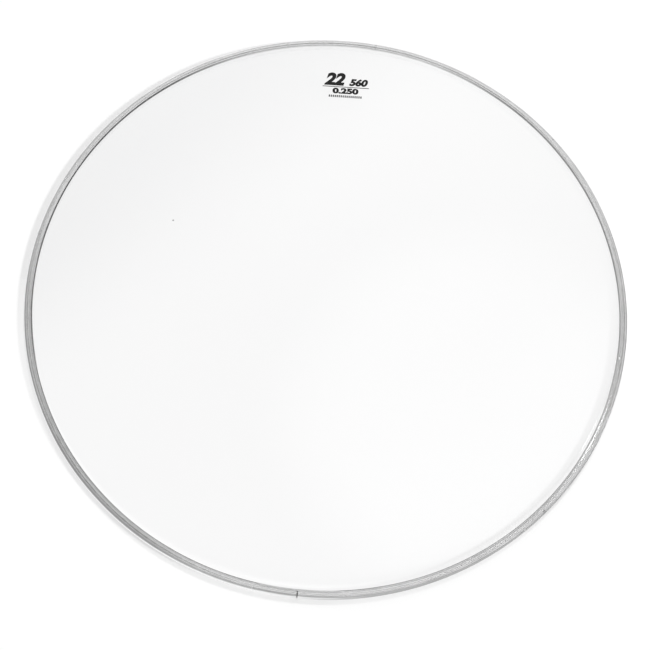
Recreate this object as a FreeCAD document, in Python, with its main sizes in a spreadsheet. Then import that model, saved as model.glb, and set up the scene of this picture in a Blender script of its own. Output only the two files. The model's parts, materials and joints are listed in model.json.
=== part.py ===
import FreeCAD, Part
import math
import os

import Sketcher

# Drum head for a 22 inch drum: a clear film whose edge is locked by resin in an aluminium channel hoop.
# Millimetres, +Z up through the playing face, origin on the axis in the plane that the hoop rests on.

# Driving dimensions: name, size, what it sets.
SIZES = [
    ("hoop_inner_diameter", 560.8, "bore that slips over the drum shell"),
    ("channel_wall", 1.2, "sheet thickness of the channel"),
    ("channel_width", 4.8, "clear width inside the channel"),
    ("channel_depth", 6.6, "clear height inside the channel, floor to lips"),
    ("upper_bend", 0.8, "inside radius of the two upper corners"),
    ("lower_bend", 0.6, "inside radius of the two lower corners"),
    ("mouth_width", 1.8, "slot between the two lips"),
    ("seam_gap", 0.5, "open butt joint between the channel's ends"),
    ("seam_bearing", -91.9, "direction of the joint, in degrees from +X"),
    ("key_length", 84.0, "key across the joint, along the hoop"),
    ("key_thickness", 1.0, "key, upright"),
    ("film_thickness", 0.25, "single ply of film"),
    ("collar_height", 9.5, "playing face above the hoop's lips"),
    ("collar_angle", 50.0, "slope of the collar, in degrees"),
    ("bearing_bend", 4.0, "radius where the flat turns into the collar"),
    ("foot_bend", 3.0, "radius where the collar turns into the tail"),
    ("foot_rise", 1.0, "straight tail above the hoop's lips"),
    ("tail_clearance", 0.55, "tail's end above the key"),
    ("slot_count", 72, "locking slots round the tail"),
    ("slot_length", 6.0, "one locking slot, along the hoop"),
    ("slot_height", 2.4, "one locking slot, upright"),
    ("resin_recess", 0.5, "resin level below the hoop's lips"),
    ("bond_gap", 0.05, "clearance of the resin and key to what they bed on"),
]

# Places that several pieces share, worked out from the sheet.
R_IN = "(dims.hoop_inner_diameter / 2)"
CAVITY_IN = f"({R_IN} + dims.channel_wall)"
R_MID = f"({CAVITY_IN} + dims.channel_width / 2)"
CAVITY_OUT = f"({CAVITY_IN} + dims.channel_width)"
R_OUT = f"({CAVITY_OUT} + dims.channel_wall)"
FLOOR = "dims.channel_wall"
LIP_UNDER = f"({FLOOR} + dims.channel_depth)"
LIP_TOP = f"({LIP_UNDER} + dims.channel_wall)"
MOUTH_IN = f"({R_MID} - dims.mouth_width / 2)"
MOUTH_OUT = f"({R_MID} + dims.mouth_width / 2)"
KEY_IN = f"({CAVITY_IN} + dims.lower_bend + dims.bond_gap)"
KEY_OUT = f"({CAVITY_OUT} - dims.lower_bend - dims.bond_gap)"
KEY_UNDER = f"({FLOOR} + dims.bond_gap)"
KEY_TOP = f"({KEY_UNDER} + dims.key_thickness)"
TAIL_IN = f"({R_MID} - dims.film_thickness / 2)"
TAIL_OUT = f"({R_MID} + dims.film_thickness / 2)"
TAIL_END = f"({KEY_TOP} + dims.tail_clearance)"
SLOT_LEVEL = f"(({TAIL_END} + {LIP_UNDER}) / 2)"
FOOT_LEVEL = f"({LIP_TOP} + dims.foot_rise)"
PLAYING_FACE = f"({LIP_TOP} + dims.collar_height)"
RESIN_TOP = f"({LIP_TOP} - dims.resin_recess)"

FULL_TURN = "360 deg"

# How a sketch numbers the ends of a line or arc, its axes and its origin.
START, END = range(1, 3)
HORIZONTAL_AXIS, VERTICAL_AXIS = range(-1, -3, -1)
ORIGIN_POINT = (HORIZONTAL_AXIS, START)

doc = FreeCAD.newDocument("drum_head")


def make_sheet():
    """The spreadsheet of driving dimensions, one named cell each."""
    sheet = doc.addObject("Spreadsheet::Sheet", "dims")
    for row, (name, size, note) in enumerate(SIZES, start=1):
        sheet.set(f"A{row}", name)
        sheet.set(f"B{row}", str(size))
        sheet.set(f"C{row}", note)
        sheet.setAlias(f"B{row}", name)
    doc.recompute()
    return sheet


def value(expression):
    """The number that an expression on the sheet gives."""
    found = sheet.evalExpression(expression)
    return float(getattr(found, "Value", found))


def angle_of(arc_length, radius):
    """The expression for the angle that a length along the hoop takes at a radius."""
    return f"{arc_length} / ({radius}) * 180 deg / pi"


def new_body(name):
    body = doc.addObject("PartDesign::Body", name)
    body.Label = name
    return body


def origin_feature(body, role):
    return next(f for f in body.Origin.OriginFeatures if f.Role == role)


def new_sketch(body, name, plane):
    sketch = body.newObject("Sketcher::SketchObject", name)
    sketch.AttachmentSupport = [(origin_feature(body, plane), "")]
    sketch.MapMode = "FlatFace"
    return sketch


def bind(sketch, constraint, expression):
    """Adds a constraint whose size follows the sheet."""
    index = sketch.addConstraint(constraint)
    sketch.setExpression(f"Constraints[{index}]", expression)


# An outline is a list of sides, each with the radius of the bend to the next side, or None for a
# sharp corner.


def flat(height, bend=None):
    """A level side at a height."""
    return {"kind": "flat", "at": height, "bend": bend}


def upright(radius, bend=None):
    """A side parallel to the axis, at a radius."""
    return {"kind": "upright", "at": radius, "bend": bend}


def slope(tail_radius, foot_bend, bend):
    """The collar's slope, tangent to the foot bend that ends in the upright tail."""
    return {"kind": "slope", "at": tail_radius, "foot": foot_bend, "bend": bend}


def line_of(side):
    """A point on the side's line and the line's direction."""
    if side["kind"] == "flat":
        return FreeCAD.Vector(0, value(side["at"]), 0), FreeCAD.Vector(1, 0, 0)
    if side["kind"] == "upright":
        return FreeCAD.Vector(value(side["at"]), 0, 0), FreeCAD.Vector(0, 1, 0)
    fall, bend = math.radians(value("dims.collar_angle")), value(side["foot"])
    centre = FreeCAD.Vector(value(side["at"]) - bend, value(FOOT_LEVEL), 0)
    along = FreeCAD.Vector(math.cos(fall), -math.sin(fall), 0)
    return centre + FreeCAD.Vector(math.sin(fall), math.cos(fall), 0) * bend, along


def crossing(first, second):
    """Where the lines of two neighbouring sides meet."""
    (p, u), (q, w) = line_of(first), line_of(second)
    step = ((q - p).x * w.y - (q - p).y * w.x) / (u.x * w.y - u.y * w.x)
    return p + u * step


def draw_outline(sketch, sides):
    """Draws a closed outline of straight sides and round bends, and binds it to the sheet."""
    count = len(sides)
    corners = [crossing(sides[i], sides[(i + 1) % count]) for i in range(count)]
    bends = []
    for i, side in enumerate(sides):
        corner = corners[i]
        to_last = (corners[i - 1] - corner).normalize()
        to_next = (corners[(i + 1) % count] - corner).normalize()
        if side["bend"] is None:
            bends.append((corner, corner, None))
            continue
        radius = value(side["bend"])
        half = to_last.getAngle(to_next) / 2
        reach = radius / math.tan(half)
        centre = corner + (to_last + to_next).normalize() * (radius / math.sin(half))
        bends.append((corner + to_last * reach, corner + to_next * reach, (centre, radius)))

    lines = []
    for i, side in enumerate(sides):
        line = sketch.addGeometry(Part.LineSegment(bends[i - 1][1], bends[i][0]))
        lines.append(line)
        if side["kind"] == "flat":
            sketch.addConstraint(Sketcher.Constraint("Horizontal", line))
        elif side["kind"] == "upright":
            sketch.addConstraint(Sketcher.Constraint("Vertical", line))

    for i, side in enumerate(sides):
        line, following = lines[i], lines[(i + 1) % count]
        if bends[i][2] is None:
            sketch.addConstraint(Sketcher.Constraint("Coincident", line, END, following, START))
        else:
            arc, first, last = draw_bend(sketch, *bends[i])
            sketch.addConstraint(Sketcher.Constraint("Tangent", line, END, arc, first))
            sketch.addConstraint(Sketcher.Constraint("Tangent", arc, last, following, START))
            bind(sketch, Sketcher.Constraint("Radius", arc, bends[i][2][1]), side["bend"])
        place_side(sketch, side, line)
        neighbours = {side["kind"], sides[(i + 1) % count]["kind"]}
        if neighbours == {"slope", "upright"}:
            tail_end = (following, START) if side["kind"] == "slope" else (line, END)
            level = Sketcher.Constraint("DistanceY", *ORIGIN_POINT, *tail_end, value(FOOT_LEVEL))
            bind(sketch, level, FOOT_LEVEL)


def draw_bend(sketch, start, end, circle):
    """Draws the arc of a bend, and says which of its ends comes first along the outline."""
    centre, radius = circle
    from_angle, to_angle = (math.atan2(p.y - centre.y, p.x - centre.x) for p in (start, end))
    runs_on = (to_angle - from_angle) % (2 * math.pi) < math.pi
    low, high = (from_angle, to_angle) if runs_on else (to_angle, from_angle)
    whole = Part.Circle(centre, FreeCAD.Vector(0, 0, 1), radius)
    arc = sketch.addGeometry(Part.ArcOfCircle(whole, low, high))
    return (arc, START, END) if runs_on else (arc, END, START)


def place_side(sketch, side, line):
    """Fixes where a side's line lies."""
    if side["at"] == "0":
        axis = HORIZONTAL_AXIS if side["kind"] == "flat" else VERTICAL_AXIS
        sketch.addConstraint(Sketcher.Constraint("PointOnObject", line, START, axis))
    elif side["kind"] == "slope":
        edge = sketch.Geometry[line]
        outward = edge.EndPoint.x > edge.StartPoint.x
        turn = "-dims.collar_angle * 1 deg" if outward else "180 deg - dims.collar_angle * 1 deg"
        bind(sketch, Sketcher.Constraint("Angle", line, math.radians(value(turn))), turn)
    else:
        measure = "DistanceY" if side["kind"] == "flat" else "DistanceX"
        place = Sketcher.Constraint(measure, *ORIGIN_POINT, line, START, value(side["at"]))
        bind(sketch, place, side["at"])


def volume_of(body):
    return 0 if body.Shape.isNull() else body.Shape.Volume


def check_change(body, before, cuts):
    """Stops the build if a cut took nothing away or an addition added nothing."""
    change = volume_of(body) - before
    if change >= 0 if cuts else change <= 0:
        raise RuntimeError(f"{body.Tip.Name} changed the volume by {change:.3f} mm3")


def revolve(body, name, kind, sides, angle=FULL_TURN):
    """Turns an outline about the Z axis: a Revolution adds material and a Groove takes it away."""
    before = volume_of(body)
    sketch = new_sketch(body, f"{name}_outline", "XZ_Plane")
    draw_outline(sketch, sides)
    doc.recompute()
    feature = body.newObject(f"PartDesign::{kind}", name)
    feature.Profile = sketch
    feature.ReferenceAxis = (sketch, ["V_Axis"])
    feature.setExpression("Angle", angle)
    doc.recompute()
    check_change(body, before, kind == "Groove")


def ring_of_bars(body, name, kind, clearance):
    """Radial bars through the tail, round the axis: a Pocket cuts slots and a Pad adds plugs."""
    before = volume_of(body)
    sketch = new_sketch(body, f"{name}_outline", "XZ_Plane")
    sketch.setExpression("AttachmentOffset.Base.z", f"{TAIL_IN} - dims.film_thickness")
    half_length = f"(dims.slot_length / 2 - {clearance})"
    half_height = f"(dims.slot_height / 2 - {clearance})"
    draw_outline(sketch, [
        flat(f"({SLOT_LEVEL} - {half_height})"),
        upright(half_length),
        flat(f"({SLOT_LEVEL} + {half_height})"),
        upright(f"(-{half_length})"),
    ])
    doc.recompute()
    bar = body.newObject(f"PartDesign::{kind}", name)
    bar.Profile = sketch
    bar.Reversed = kind == "Pocket"
    bar.setExpression("Length", "3 * dims.film_thickness")
    doc.recompute()
    pattern = body.newObject("PartDesign::PolarPattern", f"{name}_ring")
    pattern.Originals = [bar]
    pattern.Axis = (origin_feature(body, "Z_Axis"), [""])
    pattern.Angle = 360
    pattern.setExpression("Occurrences", "dims.slot_count")
    body.Tip = pattern
    doc.recompute()
    check_change(body, before, kind == "Pocket")


def turn_to_seam(body, half_angle):
    """Turns a body that starts at +X so that half_angle further round meets the joint's bearing."""
    body.setExpression("Placement.Rotation.Angle", f"dims.seam_bearing * 1 deg - {half_angle}")


def make_hoop():
    """Roll-formed channel with inturned lips, its two ends butted at the seam."""
    body = new_body("hoop_channel")
    inner_shoulder, inner_heel = "dims.upper_bend", "dims.lower_bend"
    shoulder = f"({inner_shoulder} + dims.channel_wall)"
    heel = f"({inner_heel} + dims.channel_wall)"
    outline = [
        flat("0", heel),
        upright(R_OUT, shoulder),
        flat(LIP_TOP),
        upright(MOUTH_OUT),
        flat(LIP_UNDER, inner_shoulder),
        upright(CAVITY_OUT, inner_heel),
        flat(FLOOR, inner_heel),
        upright(CAVITY_IN, inner_shoulder),
        flat(LIP_UNDER),
        upright(MOUTH_IN),
        flat(LIP_TOP, shoulder),
        upright(R_IN, heel),
    ]
    gap_angle = angle_of("dims.seam_gap", R_MID)
    revolve(body, "channel", "Revolution", outline, f"{FULL_TURN} - {gap_angle}")
    turn_to_seam(body, f"(-{gap_angle} / 2)")
    return body


def make_key():
    """Short bar on the channel's floor that keeps the two ends in line."""
    body = new_body("joint_key")
    outline = [
        flat(KEY_UNDER),
        upright(KEY_OUT),
        flat(KEY_TOP),
        upright(KEY_IN),
    ]
    key_angle = angle_of("dims.key_length", R_MID)
    revolve(body, "key", "Revolution", outline, key_angle)
    turn_to_seam(body, f"({key_angle} / 2)")
    return body


def make_film():
    """Clear film: flat playing face, formed collar, and a tail with locking slots in the channel."""
    body = new_body("playing_film")
    thickness = "dims.film_thickness"
    bearing, foot = "dims.bearing_bend", "dims.foot_bend"
    inner_bearing, inner_foot = f"({bearing} - {thickness})", f"({foot} - {thickness})"
    outline = [
        flat(PLAYING_FACE, bearing),
        slope(TAIL_OUT, foot, foot),
        upright(TAIL_OUT),
        flat(TAIL_END),
        upright(TAIL_IN, inner_foot),
        slope(TAIL_IN, inner_foot, inner_bearing),
        flat(f"({PLAYING_FACE} - {thickness})"),
        upright("0"),
    ]
    revolve(body, "film", "Revolution", outline)
    ring_of_bars(body, "locking_slot", "Pocket", "0")
    return body


def make_resin():
    """Cured resin that fills the channel, holds the tail and passes through its slots."""
    body = new_body("locking_resin")
    gap = "dims.bond_gap"
    upper_bend = f"(dims.upper_bend - {gap})"
    lower_bend = f"(dims.lower_bend - {gap})"
    under_lip = f"({LIP_UNDER} - {gap})"
    fill = [
        flat(f"({FLOOR} + {gap})", lower_bend),
        upright(f"({CAVITY_OUT} - {gap})", upper_bend),
        flat(under_lip),
        upright(f"({MOUTH_OUT} - {gap})"),
        flat(RESIN_TOP),
        upright(f"({MOUTH_IN} + {gap})"),
        flat(under_lip, upper_bend),
        upright(f"({CAVITY_IN} + {gap})", lower_bend),
    ]
    revolve(body, "fill", "Revolution", fill)

    tail_slot = [
        flat(f"({TAIL_END} - {gap})"),
        upright(f"({TAIL_OUT} + {gap})"),
        flat(FOOT_LEVEL),
        upright(f"({TAIL_IN} - {gap})"),
    ]
    revolve(body, "tail_slot", "Groove", tail_slot)

    key_seat = [
        flat("0"),
        upright(f"({KEY_OUT} + {gap})"),
        flat(f"({KEY_TOP} + {gap})"),
        upright(f"({KEY_IN} - {gap})"),
    ]
    seat_angle = angle_of(f"(dims.key_length + 2 * {gap})", R_MID)
    revolve(body, "key_seat", "Groove", key_seat, seat_angle)
    ring_of_bars(body, "plug", "Pad", gap)
    turn_to_seam(body, f"({seat_angle} / 2)")
    return body


def turn_slots_to_plugs(film, resin):
    """Turns the film as far as the resin, so that its slots stand over the resin's plugs."""
    film.setExpression("Placement.Rotation.Angle", f"{resin.Name}.Placement.Rotation.Angle")


def check(bodies):
    """Stops the build if any object failed or any piece isn't one valid solid."""
    failed = [o.Name for o in doc.Objects if {"Invalid", "Error"} & set(o.State)]
    if failed:
        raise RuntimeError(f"these objects failed: {failed}")
    for body in bodies:
        shape = body.Shape
        if shape.isNull() or not shape.isValid() or len(shape.Solids) != 1:
            raise RuntimeError(f"{body.Label} is not one valid solid")
        box = shape.optimalBoundingBox(False)
        print(f"{body.Label}: {shape.Volume:.1f} mm3, {box.XLength:.2f} x {box.YLength:.2f}"
              f" x {box.ZLength:.2f} mm, z {box.ZMin:.2f} to {box.ZMax:.2f}")


sheet = make_sheet()
hoop = make_hoop()
key = make_key()
film = make_film()
resin = make_resin()
turn_slots_to_plugs(film, resin)
doc.recompute()
pieces = [hoop, key, film, resin]
check(pieces)

os.makedirs("parts", exist_ok=True)
for piece in pieces:
    piece.Shape.exportStep(f"parts/{piece.Label}.step")
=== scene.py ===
import json
import math

import bmesh
import bpy
import numpy as np
from mathutils import Matrix, Vector


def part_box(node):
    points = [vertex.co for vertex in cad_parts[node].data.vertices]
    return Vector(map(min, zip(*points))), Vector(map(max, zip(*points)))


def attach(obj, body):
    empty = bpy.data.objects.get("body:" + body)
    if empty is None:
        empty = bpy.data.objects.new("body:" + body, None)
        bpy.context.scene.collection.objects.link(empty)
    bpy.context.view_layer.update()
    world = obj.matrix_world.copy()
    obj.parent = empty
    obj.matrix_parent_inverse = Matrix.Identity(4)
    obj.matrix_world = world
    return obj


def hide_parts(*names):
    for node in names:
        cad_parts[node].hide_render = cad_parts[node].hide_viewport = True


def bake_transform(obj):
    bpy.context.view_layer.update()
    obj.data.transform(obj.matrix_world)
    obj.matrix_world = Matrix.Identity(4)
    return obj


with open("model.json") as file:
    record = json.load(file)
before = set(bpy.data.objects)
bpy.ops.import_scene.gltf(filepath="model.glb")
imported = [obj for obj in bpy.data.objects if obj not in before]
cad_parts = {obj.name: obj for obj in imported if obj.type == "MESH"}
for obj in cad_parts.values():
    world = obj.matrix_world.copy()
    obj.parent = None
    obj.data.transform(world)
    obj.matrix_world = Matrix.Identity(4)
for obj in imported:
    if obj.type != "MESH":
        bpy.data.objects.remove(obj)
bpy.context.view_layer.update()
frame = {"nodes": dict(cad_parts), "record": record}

MM = 0.001
TURN = 2 * math.pi
scene = bpy.context.scene


def radians(*degrees):
    return tuple(math.radians(value) for value in degrees)


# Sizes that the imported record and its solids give, in metres.
mounts = {m["name"]: m["dims"] for m in frame["record"]["mounts"]}
BORE = mounts["shell_bore"]["r_mm"] * MM
OUTSIDE = mounts["counterhoop_wall"]["r_mm"] * MM
MIDDLE = (BORE + OUTSIDE) / 2
LIP_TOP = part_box("hoop_channel")[1].z
RESIN_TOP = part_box("locking_resin")[1].z
TAIL_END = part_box("playing_film")[0].z

# The channel's section. The shoulders are tighter than the solid's, and the lips fall towards the mouth.
WALL = 1.2 * MM
HALF_MOUTH = 0.9 * MM
SHOULDER = 1.1 * MM
HEEL = 1.8 * MM
INNER_SHOULDER = 0.8 * MM
INNER_HEEL = 0.6 * MM
LIP_EDGE = 0.15 * MM
INNER_LIP_FALL = 0.5 * MM
OUTER_LIP_FALL = 0.12 * MM
CREST = OUTSIDE - MIDDLE - SHOULDER
# Distances from the hoop's middle at which a lip has points, and those at which it is pressed over the key.
LIP_POINTS = [x * MM for x in (1.08, 1.2, 1.35, 1.5, 1.7, 1.9, 2.05, 2.2, 2.35)]
PRESSED = 1.35 * MM, 2.05 * MM
PRESS_DEPTH = 0.2 * MM
PRESS_RUN_OUT = 1.5 * MM

# The seam and the key under it, and how the strip strays: its waves, the step at the seam, and one kink.
# Each wave has a count round the hoop and a phase. Bearings are in degrees.
SEAM_BEARING, KINK_BEARING = -91.9, 83.2
SEAM, KINK = radians(SEAM_BEARING, KINK_BEARING)
SEAM_GAP = 0.5 * MM
KEY_SPAN = 84.0 * MM
KEY_PLAY = 0.1 * MM
WAVE = 0.02 * MM
WAVES = (7, 0.4), (19, 2.1)
STEP, STEP_REACH = 0.24 * MM, 9 * MM
KINK_DEPTH, KINK_REACH = 0.3 * MM, 5 * MM
# Sections round the hoop, and the distances of closer ones from its two ends.
HOOP_SECTIONS = 900
END_SECTIONS = [x * MM for x in (0, 0.6, 1.5, 3, 5, 8, 12)]

# The film's section. The ink takes the top of the film's place, so that the print stays under it.
INK = 0.02 * MM
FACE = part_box("playing_film")[1].z - INK
FILM = 0.25 * MM
COLLAR = math.radians(50)
BEARING_BEND = 4.0 * MM
FOOT_BEND = 3.0 * MM
FOOT_LEVEL = LIP_TOP + 1.0 * MM
FLAT_RINGS = 44
BEARING_RINGS, FOOT_RINGS = 10, 8
SLOTS = 72
SLOT_LENGTH = 6.0 * MM
SLOT_HEIGHT = 2.4 * MM
SLOT_LEVEL = (TAIL_END + LIP_TOP - WALL) / 2
SEAT_ANGLE = (KEY_SPAN + KEY_PLAY) / MIDDLE
LAND_CELLS = 4


def new_object(name, data):
    obj = bpy.data.objects.new(name, data)
    scene.collection.objects.link(obj)
    return obj


def finish_mesh(bm, name, sharp_deg=38):
    """Turns a bmesh into an object with outward normals, smooth apart from its sharp edges."""
    bmesh.ops.recalc_face_normals(bm, faces=bm.faces)
    for face in bm.faces:
        face.smooth = True
    mesh = bpy.data.meshes.new(name)
    bm.to_mesh(mesh)
    bm.free()
    mesh.set_sharp_from_angle(angle=math.radians(sharp_deg))
    return new_object(name, mesh)


def rounded(corners, steps=6):
    """Points of a closed outline in (r, z), from corners given as (r, z, bend radius)."""
    points = []
    for i, (r, z, bend) in enumerate(corners):
        here = Vector((r, z))
        if not bend:
            points.append(here)
            continue
        to_last = (Vector(corners[i - 1][:2]) - here).normalized()
        to_next = (Vector(corners[(i + 1) % len(corners)][:2]) - here).normalized()
        half = to_last.angle(to_next) / 2
        centre = here + (to_last + to_next).normalized() * (bend / math.sin(half))
        first = here + to_last * (bend / math.tan(half)) - centre
        last = here + to_next * (bend / math.tan(half)) - centre
        sweep = math.pi - 2 * half
        for k in range(steps + 1):
            share = k / steps
            mixed = first * math.sin((1 - share) * sweep) + last * math.sin(share * sweep)
            points.append(centre + mixed / math.sin(sweep))
    return points


def on_circle(r, angle, z):
    return r * math.cos(angle), r * math.sin(angle), z


def join_rings(bm, ring, following):
    """Faces between two closed rings of points."""
    for i in range(len(ring)):
        j = (i + 1) % len(ring)
        bm.faces.new((ring[i], ring[j], following[j], following[i]))


# Hoop

def hoop_outline():
    """The channel's section as (r, z, whether the key's grooves are pressed there)."""
    lip_under = LIP_TOP - WALL
    cavity_in, cavity_out = BORE + WALL, OUTSIDE - WALL

    def on_lip(away, fall):
        return LIP_TOP - fall * ((CREST - away) / (CREST - HALF_MOUTH)) ** 2

    points = rounded([
        (BORE, 0, HEEL),
        (OUTSIDE, 0, HEEL),
        (OUTSIDE, LIP_TOP, SHOULDER),
        *((MIDDLE + away, on_lip(away, OUTER_LIP_FALL), 0) for away in reversed(LIP_POINTS)),
        (MIDDLE + HALF_MOUTH, on_lip(HALF_MOUTH, OUTER_LIP_FALL), LIP_EDGE),
        (MIDDLE + HALF_MOUTH, lip_under, LIP_EDGE),
        (cavity_out, lip_under, INNER_SHOULDER),
        (cavity_out, WALL, INNER_HEEL),
        (cavity_in, WALL, INNER_HEEL),
        (cavity_in, lip_under, INNER_SHOULDER),
        (MIDDLE - HALF_MOUTH, lip_under, LIP_EDGE),
        (MIDDLE - HALF_MOUTH, on_lip(HALF_MOUTH, INNER_LIP_FALL), LIP_EDGE),
        *((MIDDLE - away, on_lip(away, INNER_LIP_FALL), 0) for away in LIP_POINTS),
        (BORE, LIP_TOP, SHOULDER),
    ])
    return [
        (p.x, p.y, any(math.isclose(abs(p.x - MIDDLE), away, abs_tol=1e-6) for away in PRESSED))
        for p in points
    ]


def from_seam(angle):
    """Distance along the hoop from the seam, in metres, positive towards -X."""
    turn = (SEAM - angle + math.pi) % TURN - math.pi
    return turn * MIDDLE


def hoop_offset(angle):
    """How far the rolled strip strays inwards at an angle."""
    along = from_seam(angle)
    stray = WAVE * sum(1 + math.sin(count * angle + phase) for count, phase in WAVES)
    if along < 0:
        stray += STEP * math.exp(along / STEP_REACH)
    kink = (angle - KINK + math.pi) % TURN - math.pi
    return stray + KINK_DEPTH * math.exp(-(kink * MIDDLE / KINK_REACH) ** 2)


def press_depth(angle):
    """Depth of the grooves that are pressed into the lips over the key."""
    inside = KEY_SPAN / 2 - abs(from_seam(angle))
    return PRESS_DEPTH * min(1, max(0, inside / PRESS_RUN_OUT))


def make_hoop():
    outline = hoop_outline()
    half_gap = SEAM_GAP / 2 / MIDDLE
    near = [half_gap + x / MIDDLE for x in END_SECTIONS]
    span = TURN - 2 * near[-1]
    turns = near[:-1] + [near[-1] + span * i / HOOP_SECTIONS for i in range(HOOP_SECTIONS + 1)]
    turns += [TURN - x for x in reversed(near[:-1])]
    bm = bmesh.new()
    rings = []
    for turn in turns:
        angle = SEAM + turn
        stray, depth = hoop_offset(angle), press_depth(angle)
        rings.append([
            bm.verts.new(on_circle(r - stray, angle, z - depth * pressed)) for r, z, pressed in outline
        ])
    for ring, following in zip(rings, rings[1:]):
        join_rings(bm, ring, following)
    bm.faces.new(rings[0])
    bm.faces.new(reversed(rings[-1]))
    hoop = finish_mesh(bm, "hoop_rolled_channel")
    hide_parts("hoop_channel")
    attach(hoop, "hoop")
    return hoop


# The resin's skin: how far it goes into the resin, stands on it and climbs the film, and its gap to film and
# lips. Each of its swells has a size, a count round the hoop and a phase.
SKIN_SINK, SKIN_RISE, SKIN_CLIMB = 0.05 * MM, 0.01 * MM, 0.22 * MM
SKIN_GAP = 0.02 * MM
SWELLS = (0.35, 23, 1), (0.25, 61, 0)
SKIN_SECTIONS, SKIN_CELLS = 540, 8


def make_resin_bead():
    """The resin's skin in the mouth, drawn up against the film."""
    bm = bmesh.new()
    sides = (
        (MIDDLE - HALF_MOUTH + SKIN_GAP, MIDDLE - FILM / 2 - SKIN_GAP),
        (MIDDLE + FILM / 2 + SKIN_GAP, MIDDLE + HALF_MOUTH - SKIN_GAP),
    )
    for side, (inner, outer) in enumerate(sides):
        rings = []
        for k in range(SKIN_SECTIONS):
            angle = TURN * k / SKIN_SECTIONS
            swell = 1 + sum(size * math.sin(count * angle + phase) for size, count, phase in SWELLS)
            ring = [(inner, RESIN_TOP - SKIN_SINK)]
            for i in range(SKIN_CELLS + 1):
                share = i / SKIN_CELLS
                height = SKIN_CLIMB * swell * (1 - share if side else share) ** 3
                ring.append((inner + (outer - inner) * share, RESIN_TOP + SKIN_RISE + height))
            ring.append((outer, RESIN_TOP - SKIN_SINK))
            rings.append([bm.verts.new(on_circle(r, angle, z)) for r, z in ring])
        for ring, following in zip(rings, rings[1:] + rings[:1]):
            join_rings(bm, ring, following)
    bead = finish_mesh(bm, "resin_skin")
    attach(bead, "hoop")
    return bead


# Film

def film_stations():
    """The film's middle line from the axis outwards: (r, z, normal r, normal z)."""
    foot = Vector((MIDDLE + FILM / 2 - FOOT_BEND, FOOT_LEVEL))
    normal = Vector((math.sin(COLLAR), math.cos(COLLAR)))
    down = Vector((math.cos(COLLAR), -math.sin(COLLAR)))
    lift = FACE - BEARING_BEND - foot.y - (FOOT_BEND - BEARING_BEND) * normal.y
    bearing = foot + normal * (FOOT_BEND - BEARING_BEND) - down * (lift / math.sin(COLLAR))
    stations = [(bearing.x * i / FLAT_RINGS, FACE - FILM / 2, 0, 1) for i in range(1, FLAT_RINGS)]
    for centre, bend, start, end, count in (
        (bearing, BEARING_BEND, 0, COLLAR, BEARING_RINGS),
        (foot, FOOT_BEND, COLLAR, math.pi / 2, FOOT_RINGS),
    ):
        for k in range(count + 1):
            tilt = start + (end - start) * k / count
            n = Vector((math.sin(tilt), math.cos(tilt)))
            at = centre + n * (bend - FILM / 2)
            stations.append((at.x, at.y, n.x, n.y))
    levels = (LIP_TOP, SLOT_LEVEL + SLOT_HEIGHT / 2, SLOT_LEVEL - SLOT_HEIGHT / 2, TAIL_END)
    return stations + [(MIDDLE, z, 1, 0) for z in levels]


def blend_to_film(obj):
    """Bakes a piece's place into its mesh and reads its points."""
    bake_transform(obj)
    places = np.zeros(len(obj.data.vertices) * 3)
    obj.data.vertices.foreach_get("co", places)
    places = places.reshape(-1, 3)


def film_bearings():
    """Bearings of the film's grid: each slot is one cell wide, with cells of plain tail up to the next."""
    first_slot = SEAM - SEAT_ANGLE / 2
    pitch, slot = TURN / SLOTS, SLOT_LENGTH / MIDDLE
    bearings = []
    for k in range(SLOTS):
        start = first_slot + pitch * k - slot / 2
        bearings.append(start)
        bearings += [start + slot + (pitch - slot) * i / LAND_CELLS for i in range(LAND_CELLS)]
    return bearings


def make_film():
    stations, bearings = film_stations(), film_bearings()
    slot_row = len(stations) - 3
    bm = bmesh.new()
    grids = []
    for side in (1, -1):
        offset = side * FILM / 2
        grids.append([
            [bm.verts.new(on_circle(r + nr * offset, a, z + nz * offset)) for r, z, nr, nz in stations]
            for a in bearings
        ])
        pole = bm.verts.new((0, 0, FACE - FILM / 2 + offset))
        for k in range(len(bearings)):
            bm.faces.new((pole, grids[-1][k][0], grids[-1][(k + 1) % len(bearings)][0]))
    upper, lower = grids
    for k in range(len(bearings)):
        following = (k + 1) % len(bearings)
        in_slot = k % (LAND_CELLS + 1) == 0
        for i in range(len(stations) - 1):
            if in_slot and i == slot_row:
                corners = ((k, i), (following, i), (following, i + 1), (k, i + 1))
                for (a, b), (c, d) in zip(corners, corners[1:] + corners[:1]):
                    bm.faces.new((upper[a][b], upper[c][d], lower[c][d], lower[a][b]))
                continue
            for grid in grids:
                bm.faces.new((grid[k][i], grid[k][i + 1], grid[following][i + 1], grid[following][i]))
        bm.faces.new((upper[k][-1], upper[following][-1], lower[following][-1], lower[k][-1]))
    film = finish_mesh(bm, "film_clear_face")
    # The floor's light comes through the film by its shadow rays alone.
    film.visible_diffuse = False
    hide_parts("playing_film")
    blend_to_film(film)
    return film


# Print

PRINT_AT = (5.2 * MM, 226.5 * MM)
INK_RISE = 0.9 * INK
# The shell's diameter in inches and millimetres, and the film's thickness: height, middle and foot in
# millimetres, then lean, weight and stretch.
NUMBERS = [
    ("22", 15.0, -12.0, 0.2, 0.25, 0.055, 1.0),
    ("560", 8.8, 12.0, 0.4, 0.25, 0.06, 1.12),
    ("0.250", 6.8, 0.0, -9.3, 0.0, 0.06, 1.4),
]
# A rule and a row of ticks: half length, lower and upper edge in millimetres, and cells.
RULE = 23.5, -1.7, -0.9, 24
TICK = 0.6, -13.6, -11.0, 1
TICKS, TICK_PITCH = 17, 2.0 * MM


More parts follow.
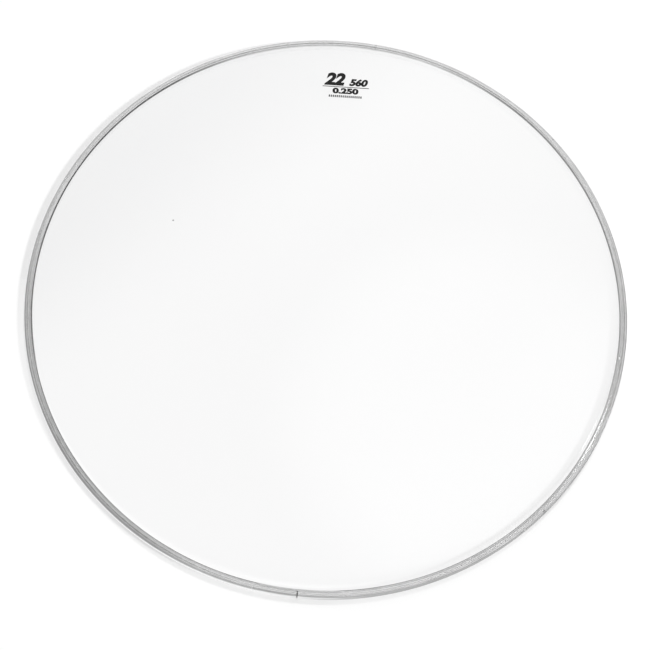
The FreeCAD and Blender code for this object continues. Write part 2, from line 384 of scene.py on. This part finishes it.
def flat_strip(bm, middle, half, lower, upper, cells):
    """A strip of ink cells, in the print's own plane."""
    start, length = middle - half * MM, 2 * half * MM
    rows = [
        [bm.verts.new((start + length * i / cells, y * MM, 0)) for i in range(cells + 1)]
        for y in (lower, upper)
    ]
    for i in range(cells):
        bm.faces.new((rows[0][i], rows[0][i + 1], rows[1][i + 1], rows[1][i]))


def number_mesh(bm, text, height, middle, foot, lean, weight, stretch):
    """Adds the outline of a number."""
    curve = bpy.data.curves.new("number", "FONT")
    curve.body = text
    curve.align_x = "CENTER"
    curve.size = 1
    curve.shear = lean
    curve.offset = weight
    curve.resolution_u = 6
    holder = new_object("number_holder", curve)
    bpy.context.view_layer.update()
    mesh = bpy.data.meshes.new_from_object(holder.evaluated_get(bpy.context.evaluated_depsgraph_get()))
    bpy.data.objects.remove(holder)
    bpy.data.curves.remove(curve)
    levels = [v.co.y for v in mesh.vertices]
    scale = height * MM / (max(levels) - min(levels))
    sized = Matrix.Diagonal((scale * stretch, scale, scale, 1))
    mesh.transform(Matrix.Translation((middle * MM, foot * MM - min(levels) * scale, 0)) @ sized)
    bm.from_mesh(mesh)
    bpy.data.meshes.remove(mesh)


def make_print():
    """A plain size mark in ink."""
    bm = bmesh.new()
    for number in NUMBERS:
        number_mesh(bm, *number)
    flat_strip(bm, 0, *RULE)
    for i in range(TICKS):
        flat_strip(bm, (i - TICKS // 2) * TICK_PITCH, *TICK)
    made = bmesh.ops.extrude_face_region(bm, geom=list(bm.faces))["geom"]
    raised = [v for v in made if isinstance(v, bmesh.types.BMVert)]
    bmesh.ops.translate(bm, verts=raised, vec=(0, 0, INK_RISE))
    bm.transform(Matrix.Translation((*PRINT_AT, FACE)))
    ink = finish_mesh(bm, "size_mark", sharp_deg=30)
    blend_to_film(ink)
    return ink


# Materials

class Graph:
    """Short hand for building a node tree."""

    def __init__(self, tree):
        self.tree = tree
        tree.nodes.clear()

    def node(self, kind, **settings):
        made = self.tree.nodes.new(kind)
        for name, value in settings.items():
            setattr(made, name, value)
        return made

    def link(self, source, target):
        self.tree.links.new(source, target)

    def feed(self, socket, value):
        if isinstance(value, bpy.types.NodeSocket):
            self.link(value, socket)
        else:
            socket.default_value = value

    def math(self, operation, *values, clamp=False):
        made = self.node("ShaderNodeMath", operation=operation, use_clamp=clamp)
        for socket, value in zip(made.inputs, values):
            self.feed(socket, value)
        return made.outputs[0]

    def add(self, first, second):
        return self.math("ADD", first, second)

    def times(self, first, *others):
        for other in others:
            first = self.math("MULTIPLY", first, other)
        return first

    def off(self, value, middle):
        """How far a value lies from a middle, to either side."""
        return self.math("ABSOLUTE", self.math("SUBTRACT", value, middle))

    def ramp(self, value, low, high, to_low=0.0, to_high=1.0):
        """A smooth step of a value from low to high."""
        made = self.node("ShaderNodeMapRange", interpolation_type="SMOOTHSTEP")
        for socket, v in zip(made.inputs, (value, low, high, to_low, to_high)):
            self.feed(socket, v)
        return made.outputs[0]

    def fall(self, value, low, high, level=1.0):
        """A smooth step of a value down to nothing."""
        return self.ramp(value, low, high, level, 0.0)

    def mix(self, share, first, second):
        made = self.node("ShaderNodeMix", data_type="RGBA")
        self.feed(made.inputs["Factor"], share)
        self.feed(made.inputs["A"], first)
        self.feed(made.inputs["B"], second)
        return made.outputs["Result"]

    def noise(self, vector, scale, detail, roughness):
        made = self.node("ShaderNodeTexNoise")
        self.feed(made.inputs["Vector"], vector)
        made.inputs["Scale"].default_value = scale
        made.inputs["Detail"].default_value = detail
        made.inputs["Roughness"].default_value = roughness
        return made.outputs["Fac"]

    def combine(self, x, y, z):
        made = self.node("ShaderNodeCombineXYZ")
        for socket, value in zip(made.inputs, (x, y, z)):
            self.feed(socket, value)
        return made.outputs[0]

    def split(self, vector):
        made = self.node("ShaderNodeSeparateXYZ")
        self.link(vector, made.inputs[0])
        return made.outputs

    def vector(self, operation, first, second):
        """A number from two vectors, the second of them fixed."""
        made = self.node("ShaderNodeVectorMath", operation=operation)
        self.link(first, made.inputs[0])
        made.inputs[1].default_value = second
        return made.outputs["Value"]

    def bump(self, height, strength, distance):
        made = self.node("ShaderNodeBump")
        made.inputs["Strength"].default_value = strength
        made.inputs["Distance"].default_value = distance
        self.feed(made.inputs["Height"], height)
        return made.outputs[0]

    def coords(self):
        return self.node("ShaderNodeTexCoord").outputs["Object"]

    def polar(self, coords):
        """The radius, bearing and height of a place."""
        x, y, z = self.split(coords)
        radius = self.math("SQRT", self.add(self.times(x, x), self.times(y, y)))
        return radius, self.math("ARCTAN2", y, x), z

    def principled(self, values):
        made = self.node("ShaderNodeBsdfPrincipled")
        for name, value in values.items():
            self.feed(made.inputs[name], value)
        return made

    def either(self, share, first, second):
        """The first shader, or the second by a share."""
        made = self.node("ShaderNodeMixShader")
        for socket, source in zip(made.inputs, (share, first.outputs[0], second.outputs[0])):
            self.link(source, socket)
        return made

    def finish(self, shader, kind="ShaderNodeOutputMaterial"):
        self.link(shader.outputs[0], self.node(kind).inputs["Surface"])


def new_material(name):
    material = bpy.data.materials.new(name)
    material.use_nodes = True
    return material, Graph(material.node_tree)


def grey(level, tint=0.0):
    return (level, level, level * (1 + tint), 1)


# Where noise goes from its low to its high tones.
TONES = 0.3, 0.7

# The hoop's looks. Pairs of radii, heights and bearings are the two ends of a smooth step. A noise has a
# scale, a detail and a roughness, and a relief has a strength and a height. The strip's lines are drawn out
# along it by the scales of radius, bearing and height.
LINE_SCALES = 900, 1.6, 900
LINES = 2.2, 4.0, 0.6
PATCHES = 55, 4.0, 0.6
SPECKS = 900, 2.0, 0.5
LINES_SHARE, PATCHES_SHARE, SPECKS_SHARE = 0.55, 0.45, 0.4
STRIP_TONES = grey(0.756), grey(0.99, 0.005)
STRIP_ROUGHNESS = 0.26, 0.16
STRIP_RELIEF = 0.12, 0.05 * MM
# The walls are paler: outer and inner.
WALL_HEIGHT = 7.0 * MM, 8.0 * MM
WALL_SIDE = MIDDLE, MIDDLE + 1.0 * MM
WALL_PATCHES = 0.3, 0.6, 0.8, 1.0
WALL_TONES = grey(0.96), grey(0.97)
# The inner edge is painted dark, as shade, darkest at one bearing and lighter about another.
EDGE_SHADE_RADIUS = BORE + 0.6 * MM, BORE + 0.9 * MM
EDGE_SHADE_HEIGHT = 6.8 * MM, 7.3 * MM
EDGE_SHADE_DEEPEST = math.radians(178)
EDGE_SHADE_SHARE, EDGE_SHADE_SWING = 0.8, 0.17
EDGE_LIGHTER_MIDDLE = math.radians(90)
EDGE_LIGHTER_AWAY = radians(14, 42)
EDGE_LIGHTER_SHARE = 0.68
EDGE_SHADE_TONE = grey(0.04)
EDGE_ROUGHNESS = 0.25
# The outer wall and shoulder are rougher, and painted darker as shade, from near the seam to the +X side.
DULL_AND_SHADE_START = radians(-102, -76)
DULL_AND_SHADE_END = radians(-35, 0)
DULL_AND_SHADE_RADIUS = OUTSIDE - 1.3 * MM, OUTSIDE - 0.7 * MM
WALL_SHADE_HEIGHT = 8.3 * MM, 8.8 * MM
WALL_SHADE_TONES = grey(0.38), grey(0.64)
WALL_SHADE_SHARE = 0.9
WALL_DULL_ROUGHNESS = 0.3
# A stretch of the outer lip is painted darker, as shade.
LIP_SHADE_START = radians(-160, -140)
LIP_SHADE_END = radians(-124, -108)
LIP_SHADE_RADIUS = MIDDLE + 0.8 * MM, MIDDLE + 1.3 * MM
LIP_SHADE_HEIGHT = 7.6 * MM, 8.4 * MM
LIP_SHADE_SHARE = 0.45
LIP_SHADE_TONE = grey(0.5)
# Over the key the lips are burnished, and the grooves between are painted dark, as shade.
BURNISH_AWAY = 0.36 * KEY_SPAN / MIDDLE, 0.5 * KEY_SPAN / MIDDLE
BURNISH_HEIGHT = 8.0 * MM, 8.4 * MM
BURNISH_SHARE = 0.5
BURNISH_TONE = grey(0.98)
GROOVE_SHADE_AWAY = 0.04 * MM, 0.14 * MM
GROOVE_SHADE_TONE = grey(0.15)
# Scuffs: bearing in degrees, half length, inner and outer radius in millimetres, and how much brighter or
# darker.
SCUFFS = [
    (16.5, 0.6, 283.6, 287.4, 0.9),
    (28.4, 0.6, 283.0, 286.6, 0.6),
    (40.5, 0.7, 284.0, 287.2, -0.4),
    (41.2, 0.7, 284.0, 286.6, 0.7),
    (-9.3, 1.6, 282.0, 284.4, 0.95),
    (-8.8, 0.4, 281.6, 285.0, -0.5),
    (-9.8, 0.4, 281.6, 285.0, -0.5),
    (-43.6, 1.4, 284.6, 287.2, -0.28),
    (-48.6, 0.9, 284.6, 287.4, 0.8),
    (-65.8, 0.9, 283.2, 285.8, 0.6),
    (-67.2, 0.9, 284.4, 287.0, 0.5),
    (KINK_BEARING, 0.7, 281.2, 287.0, -0.35),
    (-99.9, 0.7, 281.4, 287.2, 0.5),
    (171.0, 1.5, 284.5, 287.3, -0.25),
    (SEAM_BEARING, 0.6, 280.0, 288.0, -0.9),
]
SCUFF_FULL = 0.6
SCUFF_FADE = 0.2
SCUFF_TONES = grey(0.12), grey(1.0)
SCUFF_ROUGHNESS = 0.25


def edge_shade_share(g, radius, bearing, height):
    """How dark the inner edge is painted, as shade."""
    edge = g.times(g.fall(radius, *EDGE_SHADE_RADIUS), g.ramp(height, *EDGE_SHADE_HEIGHT))
    deepest = g.math("COSINE", g.math("SUBTRACT", bearing, EDGE_SHADE_DEEPEST))
    lighter = g.fall(g.off(bearing, EDGE_LIGHTER_MIDDLE), *EDGE_LIGHTER_AWAY, EDGE_LIGHTER_SHARE)
    amount = g.math("SUBTRACT", g.add(g.times(deepest, EDGE_SHADE_SWING), EDGE_SHADE_SHARE), lighter)
    return g.times(edge, amount)


def scuff_share(g, radius, bearing, middle, half, inner, outer):
    """Where one scuff lies."""
    reach = half * MM / MIDDLE
    along = g.fall(g.off(bearing, math.radians(middle)), reach * SCUFF_FULL, reach)
    from_inside = g.ramp(radius, (inner - SCUFF_FADE) * MM, inner * MM)
    to_outside = g.fall(radius, outer * MM, (outer + SCUFF_FADE) * MM)
    return g.times(along, from_inside, to_outside)


def aluminium(name):
    """Rolled aluminium: fine lines along the strip, pale walls, the marks of making and use, and painted
    shade.
    """
    material, g = new_material(name)
    coords = g.coords()
    radius, bearing, height = g.polar(coords)
    drawn_out = [g.times(value, scale) for value, scale in zip((radius, bearing, height), LINE_SCALES)]
    lines = g.noise(g.combine(*drawn_out), *LINES)
    patches = g.noise(coords, *PATCHES)
    specks = g.noise(coords, *SPECKS)
    tone = g.add(g.times(lines, LINES_SHARE), g.times(patches, PATCHES_SHARE))
    colour = g.mix(g.ramp(tone, *TONES), *STRIP_TONES)
    rough = g.ramp(tone, *TONES, *STRIP_ROUGHNESS)

    walls = g.times(g.fall(height, *WALL_HEIGHT), g.ramp(patches, *WALL_PATCHES))
    colour = g.mix(walls, colour, g.mix(g.fall(radius, *WALL_SIDE), *WALL_TONES))

    # The inner edge is darkened and made rougher: painted shade.
    edge_shade = edge_shade_share(g, radius, bearing, height)
    colour = g.mix(edge_shade, colour, EDGE_SHADE_TONE)
    rough = g.add(rough, g.times(edge_shade, EDGE_ROUGHNESS))

    # The outer wall turns rougher and is painted darker here: painted shade.
    dull_and_shade = g.times(g.ramp(bearing, *DULL_AND_SHADE_START), g.fall(bearing, *DULL_AND_SHADE_END))
    dull_and_shade = g.times(dull_and_shade, g.ramp(radius, *DULL_AND_SHADE_RADIUS))
    wall_shade_colour = g.mix(g.ramp(height, *WALL_SHADE_HEIGHT), *WALL_SHADE_TONES)
    colour = g.mix(g.times(dull_and_shade, WALL_SHADE_SHARE), colour, wall_shade_colour)
    rough = g.add(rough, g.times(dull_and_shade, WALL_DULL_ROUGHNESS))

    # A stretch of the outer lip is darkened: painted shade.
    lip_shade = g.times(g.ramp(bearing, *LIP_SHADE_START), g.fall(bearing, *LIP_SHADE_END, LIP_SHADE_SHARE))
    lip_shade = g.times(lip_shade, g.ramp(radius, *LIP_SHADE_RADIUS), g.ramp(height, *LIP_SHADE_HEIGHT))
    colour = g.mix(lip_shade, colour, LIP_SHADE_TONE)

    burnish = g.fall(g.off(bearing, SEAM), *BURNISH_AWAY, BURNISH_SHARE)
    burnish = g.times(burnish, g.ramp(height, *BURNISH_HEIGHT))
    colour = g.mix(burnish, colour, BURNISH_TONE)
    # The pressed grooves are darkened: painted shade.
    off_middle = g.off(radius, MIDDLE)
    for away in PRESSED:
        groove_shade = g.fall(g.off(off_middle, away), *GROOVE_SHADE_AWAY)
        colour = g.mix(g.times(groove_shade, burnish), colour, GROOVE_SHADE_TONE)

    for *place, change in SCUFFS:
        mark = scuff_share(g, radius, bearing, *place)
        colour = g.mix(g.times(mark, abs(change)), colour, SCUFF_TONES[change > 0])
        rough = g.add(rough, g.times(mark, SCUFF_ROUGHNESS))

    relief = g.add(lines, g.times(specks, SPECKS_SHARE))
    g.finish(g.principled({
        "Metallic": 1.0,
        "Base Color": colour,
        "Roughness": rough,
        "Normal": g.bump(relief, *STRIP_RELIEF),
    }))
    return material


# The film is painted a little darker to one side, as shade: which way, and between which distances from the
# axis.
FILM_SHADE_WAY = Vector((-0.7, 0.714, 0))
FILM_SHADE_REACH = 0.08, 0.25
FILM_SHADE_SHARE, CLOUD_SHARE = 0.85, 0.15
CLOUDS = 9, 3.0, 0.5
RIPPLES = 14, 2.0, 0.55
FILM_TINTS = grey(0.995), grey(0.91, 0.003)
FILM_ROUGHNESS = 0.03, 0.06
FILM_RELIEF = 0.05, 0.4 * MM
FILM_IOR = 1.5
FILM_SHADOW = (0.97, 0.972, 0.974, 1)
# A speck of dirt on the film: its place, its edge, and how much it covers.
SPECK_AT = (-153.4 * MM, 63.6 * MM, FACE)
SPECK_EDGE = 0.5 * MM, 0.9 * MM
SPECK_SHARE = 0.9
SPECK_TONE = grey(0.1)


def clear_film(name):
    """Clear film with a faint haze and painted shade to one side; it lets lamp light through to the floor.
    """
    material, g = new_material(name)
    coords = g.coords()
    cloud = g.noise(coords, *CLOUDS)
    # The film's tint darkens towards one side: painted shade.
    cloud_and_shade = g.ramp(g.vector("DOT_PRODUCT", coords, FILM_SHADE_WAY), *FILM_SHADE_REACH)
    cloud_and_shade = g.add(g.times(cloud_and_shade, FILM_SHADE_SHARE), g.times(cloud, CLOUD_SHARE))
    speck = g.fall(g.vector("DISTANCE", coords, SPECK_AT), *SPECK_EDGE, SPECK_SHARE)
    glass = g.principled({
        "Base Color": g.mix(speck, g.mix(cloud_and_shade, *FILM_TINTS), SPECK_TONE),
        "Roughness": g.ramp(cloud, *TONES, *FILM_ROUGHNESS),
        "IOR": FILM_IOR,
        "Transmission Weight": 1.0,
        "Normal": g.bump(g.noise(coords, *RIPPLES), *FILM_RELIEF),
    })
    through = g.node("ShaderNodeBsdfTransparent")
    through.inputs["Color"].default_value = FILM_SHADOW
    g.finish(g.either(g.node("ShaderNodeLightPath").outputs["Is Shadow Ray"], glass, through))
    return material


# Bearings between which the resin in the mouth is paler.
FRONT_PALE_START = radians(-125, -95)
FRONT_PALE_END = radians(-40, -10)
FRONT_PALE_TONE = grey(0.85)
# Dirt at the seam.
DIRT_AWAY = 0.4 * MM / MIDDLE, 0.8 * MM / MIDDLE
DIRT_SHARE = 0.9
DIRT_TONE = grey(0.02)
# A matt surface's mottling: its noise's detail and roughness, how far the surface's roughness spreads, and
# the strength of its grain.
MOTTLE = 5.0, 0.6
ROUGH_SPREAD = 0.08
GRAIN = 0.3


def dull(name, low, high, scale, rough, relief, metallic=0.0, shine=0.5, front_pale=0.0):
    """A plain matt surface with mottled colour and a fine grain, paler along the front if asked, dark with
    dirt at the seam.
    """
    material, g = new_material(name)
    coords = g.coords()
    bearing = g.polar(coords)[1]
    spread = g.noise(coords, scale, *MOTTLE)
    colour = g.mix(g.ramp(spread, *TONES), low, high)
    # Paler along the front, between these bearings.
    if front_pale:
        pale_front = g.times(g.ramp(bearing, *FRONT_PALE_START), g.fall(bearing, *FRONT_PALE_END, front_pale))
        colour = g.mix(pale_front, colour, FRONT_PALE_TONE)
    dirt = g.fall(g.off(bearing, SEAM), *DIRT_AWAY, DIRT_SHARE)
    g.finish(g.principled({
        "Metallic": metallic,
        "Specular IOR Level": shine,
        "Base Color": g.mix(dirt, colour, DIRT_TONE),
        "Roughness": g.ramp(spread, *TONES, rough - ROUGH_SPREAD, rough + ROUGH_SPREAD),
        "Normal": g.bump(spread, GRAIN, relief),
    }))
    return material


def assign(obj, material):
    obj.data.materials.clear()
    obj.data.materials.append(material)


# Stage, light and camera

FLOOR_HALF = 12
FLOOR_CELLS = 8
FLOOR_NOISE = 3, 3.0, 0.55
FLOOR_TONES = grey(0.93), grey(0.95)
# The floor under the film is shaded towards one side: which way, between which distances from the axis, and
# how much of it glows through the film there.
SHADE_WAY = Vector((0.574, -0.819, 0))
SHADE_REACH = 0.1, 0.26, 0.96, 0.7
# How much of the floor glows to the eye, and where it glows more, so that shade is fainter there:
# middle bearing, and half widths of the full and the fading stretch, in degrees.
SHADE_SEEN, FAINT_SEEN = 0.16, 0.55
FAINT_SHADE = [(-152, 14, 40), (-66, 12, 28)]
# Away from the part it glows evenly: between which distances that starts, and how much.
FAR_FLOOR = 0.4, 1.2
FAR_SEEN = 0.5


def make_floor():
    bm = bmesh.new()
    bmesh.ops.create_grid(bm, x_segments=FLOOR_CELLS, y_segments=FLOOR_CELLS, size=FLOOR_HALF)
    floor = finish_mesh(bm, "floor")
    material, g = new_material("pale_floor")
    coords = g.coords()
    radius, bearing = g.polar(coords)[:2]
    matt = g.node("ShaderNodeBsdfDiffuse")
    g.feed(matt.inputs["Color"], g.mix(g.noise(coords, *FLOOR_NOISE), *FLOOR_TONES))
    rays = g.node("ShaderNodeLightPath").outputs
    glow = SHADE_SEEN
    for middle, full, fade in FAINT_SHADE:
        away = g.off(bearing, math.radians(middle))
        glow = g.math("MAXIMUM", glow, g.ramp(away, *radians(full, fade), FAINT_SEEN, SHADE_SEEN))
    glow = g.ramp(radius, *FAR_FLOOR, glow, FAR_SEEN)
    seen = g.times(rays["Is Camera Ray"], glow)
    unshaded = g.ramp(g.vector("DOT_PRODUCT", coords, SHADE_WAY), *SHADE_REACH)
    through = g.times(rays["Is Transmission Ray"], unshaded)
    mirrored = g.math("SUBTRACT", rays["Is Glossy Ray"], rays["Is Transmission Ray"], clamp=True)
    share = g.math("MAXIMUM", g.math("MAXIMUM", seen, through), mirrored)
    g.finish(g.either(share, matt, g.node("ShaderNodeEmission")))
    assign(floor, material)


# Lamps: name, bearing and height in degrees, width in metres, watts, and whether it shows only in shiny
# pieces or lights only matt ones.
LAMPS = [
    ("key", -24, 43, 0.7, 104, False),
    ("glint", 0, 42, 0.6, 14, True),
    ("back_soft", 70, 64, 0.6, 50, False),
    ("overhead_soft", 90, 80, 2.5, 20, False),
]
LAMP_DISTANCE = 5.0
# The sky's levels: ends of a step in one part of the direction, and the levels there.
SKY_UP = 0.05, 0.85, 0.85, 0.38
SKY_SIDES = 0.08, 0.5, 1.0, 0.66
SKY_BACK = 0.35, 0.6, 0.0, 0.46
SKY_BACK_ACROSS = -0.05, 0.25, 1.15, 0.6
SKY_FRONT = -0.5, 0.1, 0.3, 0.0
# A soft panel overhead, which the front of the hoop mirrors: its direction, half widths and level.
PANEL_WAY = Vector((0.12, 0.3, 0.95)).normalized()
PANEL_FULL, PANEL_FADE = radians(5, 10)
PANEL_LEVEL = 0.48


def make_sky():
    world = bpy.data.worlds.new("studio")
    world.use_nodes = True
    scene.world = world
    g = Graph(world.node_tree)
    way = g.node("ShaderNodeTexCoord").outputs["Generated"]
    x, y, z = g.split(way)
    level = g.times(g.ramp(z, *SKY_UP), g.ramp(g.math("ABSOLUTE", x), *SKY_SIDES))
    level = g.add(level, g.times(g.ramp(y, *SKY_BACK), g.ramp(x, *SKY_BACK_ACROSS)))
    level = g.add(level, g.ramp(y, *SKY_FRONT))
    facing = g.vector("DOT_PRODUCT", way, PANEL_WAY)
    panel = g.ramp(facing, math.cos(PANEL_FADE), math.cos(PANEL_FULL), 0.0, PANEL_LEVEL)
    level = g.add(level, panel)
    back = g.node("ShaderNodeBackground")
    g.feed(back.inputs["Color"], g.combine(level, level, level))
    g.finish(back, "ShaderNodeOutputWorld")


def make_lamps():
    for name, bearing, height, width, watts, glint in LAMPS:
        data = bpy.data.lights.new(name, "AREA")
        data.shape = "DISK"
        data.size = width
        data.energy = watts
        lamp = new_object(name, data)
        bearing, height = radians(bearing, height)
        away = Vector(on_circle(math.cos(height), bearing, math.sin(height)))
        lamp.location = away * LAMP_DISTANCE
        lamp.rotation_euler = away.to_track_quat("Z", "Y").to_euler()
        lamp.visible_glossy = lamp.visible_transmission = glint
        lamp.visible_diffuse = not glint


# The camera's place and aim in metres, its roll, and its lens and sensor in millimetres.
CAMERA_AT = Vector((-0.000293, -0.4659116, 1.1147441))
CAMERA_AIM = Vector((-0.000293, -0.0311942, 0.009))
CAMERA_ROLL = math.radians(3.687)
CAMERA_LENS, CAMERA_SENSOR = 69.4985, 36


def make_camera():
    data = bpy.data.cameras.new("camera")
    data.lens = CAMERA_LENS
    data.sensor_width = CAMERA_SENSOR
    forward = (CAMERA_AIM - CAMERA_AT).normalized()
    right = forward.cross(Vector((0, 0, 1))).normalized()
    up = right.cross(forward)
    side = right * math.cos(CAMERA_ROLL) + up * math.sin(CAMERA_ROLL)
    top = up * math.cos(CAMERA_ROLL) - right * math.sin(CAMERA_ROLL)
    camera = new_object("camera", data)
    turned = Matrix((side, top, -forward)).transposed().to_4x4()
    turned.translation = CAMERA_AT
    camera.matrix_world = turned
    scene.camera = camera


RESIN_TONES = (0.3, 0.3, 0.296, 1), (0.43, 0.43, 0.425, 1)
KEY_TONES = grey(0.62), grey(0.76)
INK_TONES = grey(0.008), grey(0.02)

assign(make_hoop(), aluminium("hoop_aluminium"))
assign(make_film(), clear_film("film_clear"))
resin_look = dull("resin_cured", *RESIN_TONES, scale=160, rough=0.55, relief=0.2 * MM, front_pale=0.75)
assign(make_resin_bead(), resin_look)
assign(frame["nodes"]["locking_resin"], resin_look)
key_look = dull("key_mill", *KEY_TONES, scale=240, rough=0.4, relief=0.1 * MM, metallic=1.0)
assign(frame["nodes"]["joint_key"], key_look)
assign(make_print(), dull("ink_black", *INK_TONES, scale=700, rough=0.5, relief=0.02 * MM, shine=0.2))
make_floor()
make_sky()
make_lamps()
make_camera()

scene.view_settings.view_transform = "Standard"
